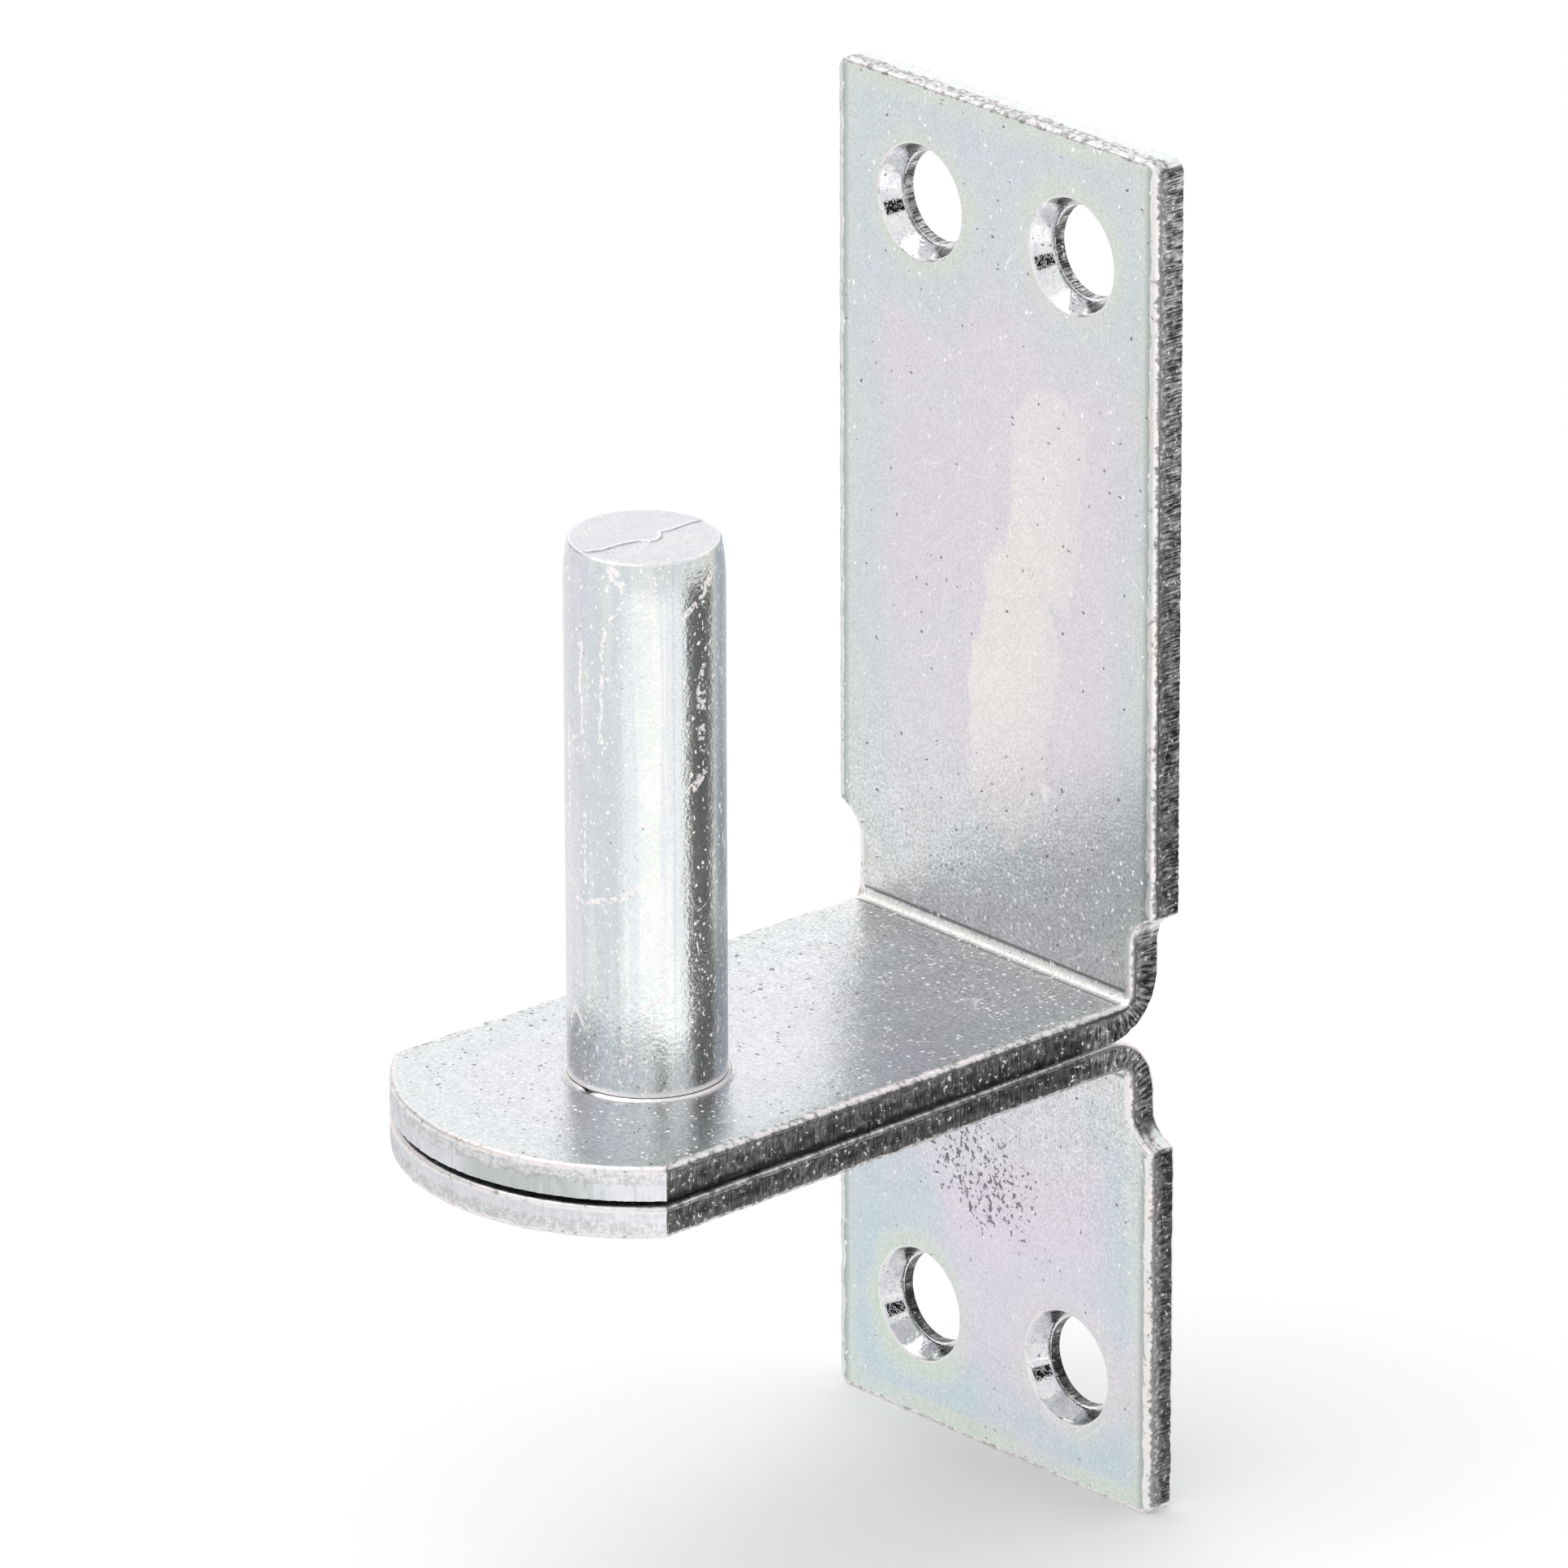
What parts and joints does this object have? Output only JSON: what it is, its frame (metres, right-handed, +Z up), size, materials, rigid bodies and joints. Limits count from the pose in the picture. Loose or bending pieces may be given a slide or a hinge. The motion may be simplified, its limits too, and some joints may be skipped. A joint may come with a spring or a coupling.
{
  "type": "gate hinge pin",
  "caption": "Screw-on gate hinge pin: an upright round pin riveted through the shelves of a pair of folded plates, with countersunk holes in the leaves above and below.",
  "frame": {"origin": "centre of the four screw holes, on the mounting face at the back of the leaves", "axes": "+Z up along the pin, +Y out of the mounting face into the post, +X across the plates to the right as seen from the front"},
  "size_m": [0.0466, 0.0755, 0.144],
  "materials": {
    "plated_sheet": "blue zinc plated, pale and slightly iridescent, with dark sheared edges",
    "plated_bar": "blue zinc plated bar, scratched, with a sheared end"
  },
  "bodies": {
    "root": {"upper_plate": "plated_sheet", "lower_plate": "plated_sheet", "hinge_pin": "plated_bar"}
  },
  "joints": []
}
